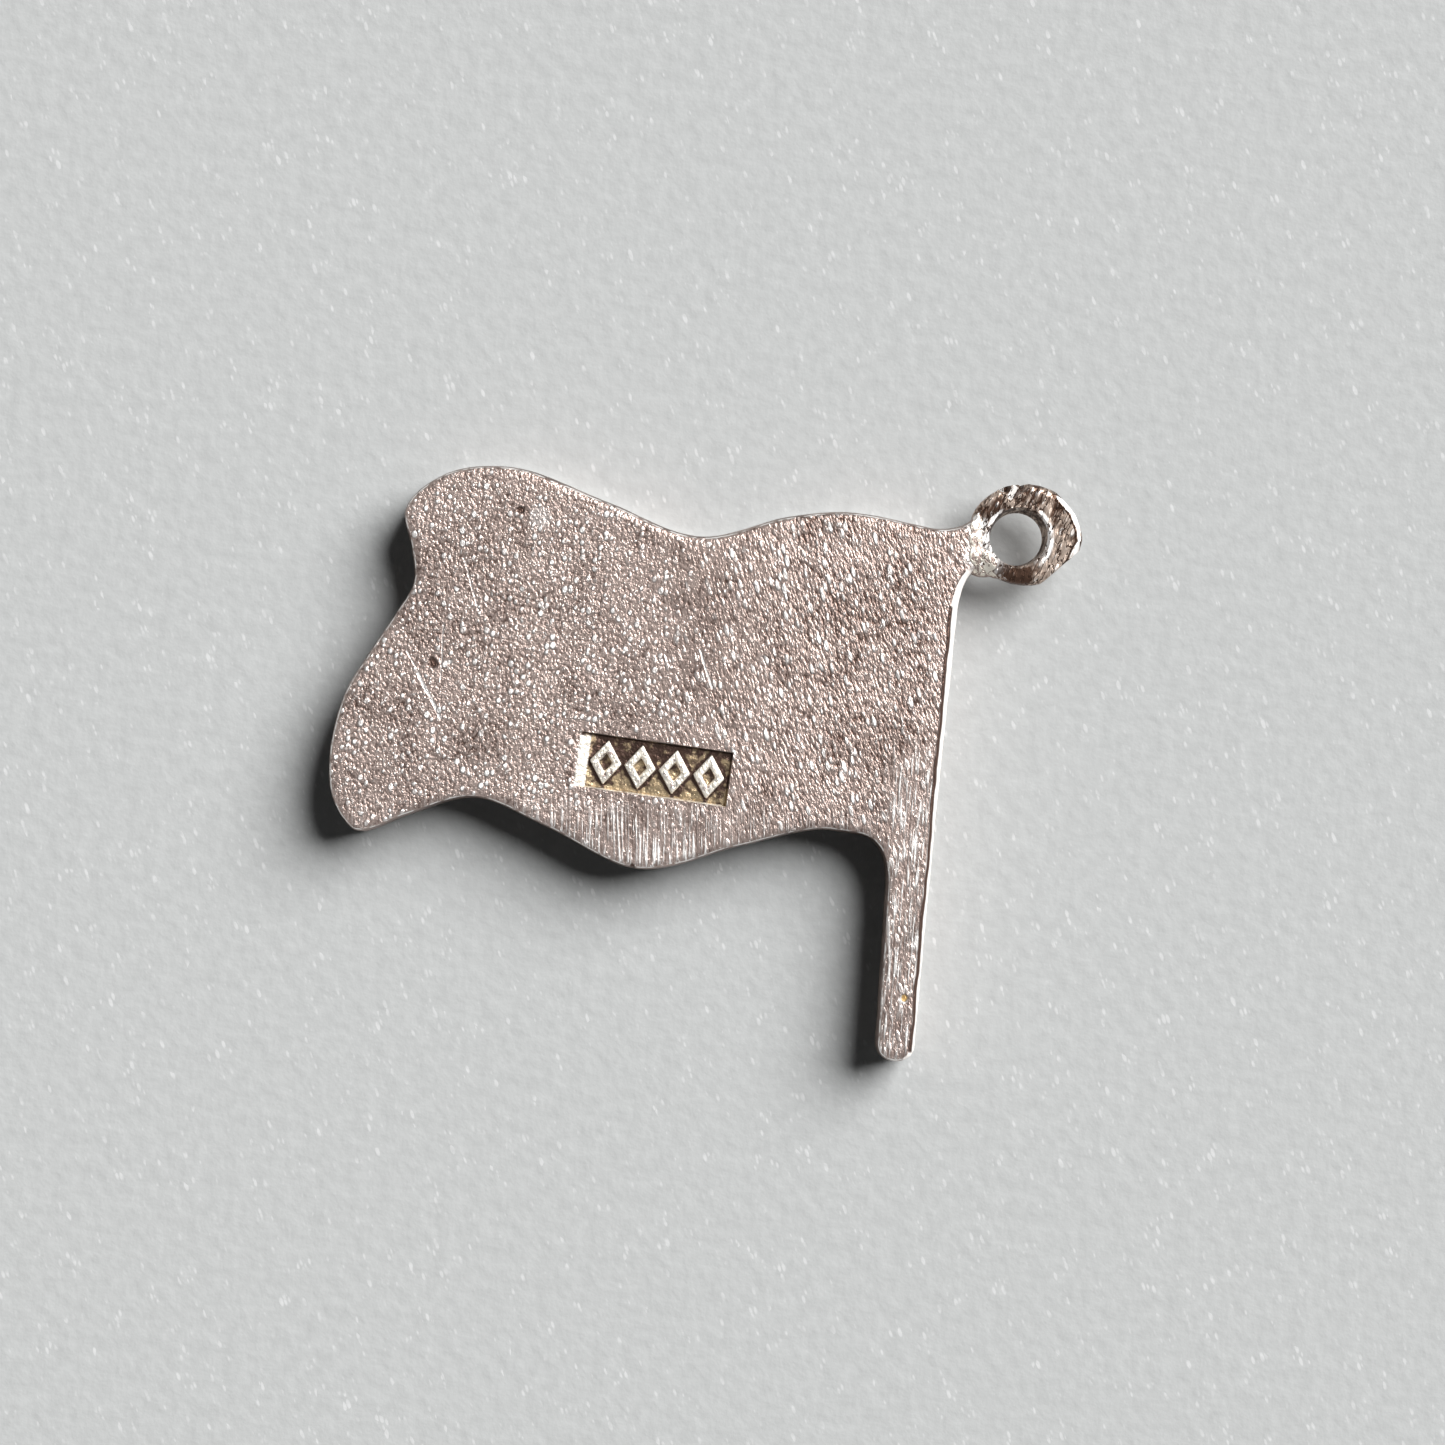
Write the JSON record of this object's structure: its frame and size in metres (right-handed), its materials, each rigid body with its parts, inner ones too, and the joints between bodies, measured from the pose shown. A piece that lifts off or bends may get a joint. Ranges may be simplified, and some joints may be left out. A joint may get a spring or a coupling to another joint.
{
  "type": "flag charm",
  "caption": "Flat silver charm shaped as a waving flag on a tapered pole, with a pierced ear at the pole's head and enamel fields in sunk cells on the front.",
  "frame": {"origin": "on the surface that the charm lies on, under the middle of its box", "axes": "+Z out of the plain back, +Y up the pole to the ear, +X from the flag to the pole and the ear"},
  "size_m": [0.0166, 0.0132, 0.0013],
  "materials": {
    "silver": "cast silver, pebbled and filed matt on the back, worn bright on the edges, brown tarnish in the ear and in the punched panel",
    "white_enamel": "fired enamel, glossy, with a few pits",
    "blue_enamel": "fired enamel, glossy, with a few pits"
  },
  "bodies": {
    "root": {"charm_body": "silver", "pierced_ear": "silver", "enamel_hoist_upper": "white_enamel", "enamel_hoist_lower": "white_enamel", "enamel_fly_upper": "white_enamel", "enamel_fly_lower": "white_enamel", "enamel_cross": "blue_enamel"}
  },
  "joints": []
}
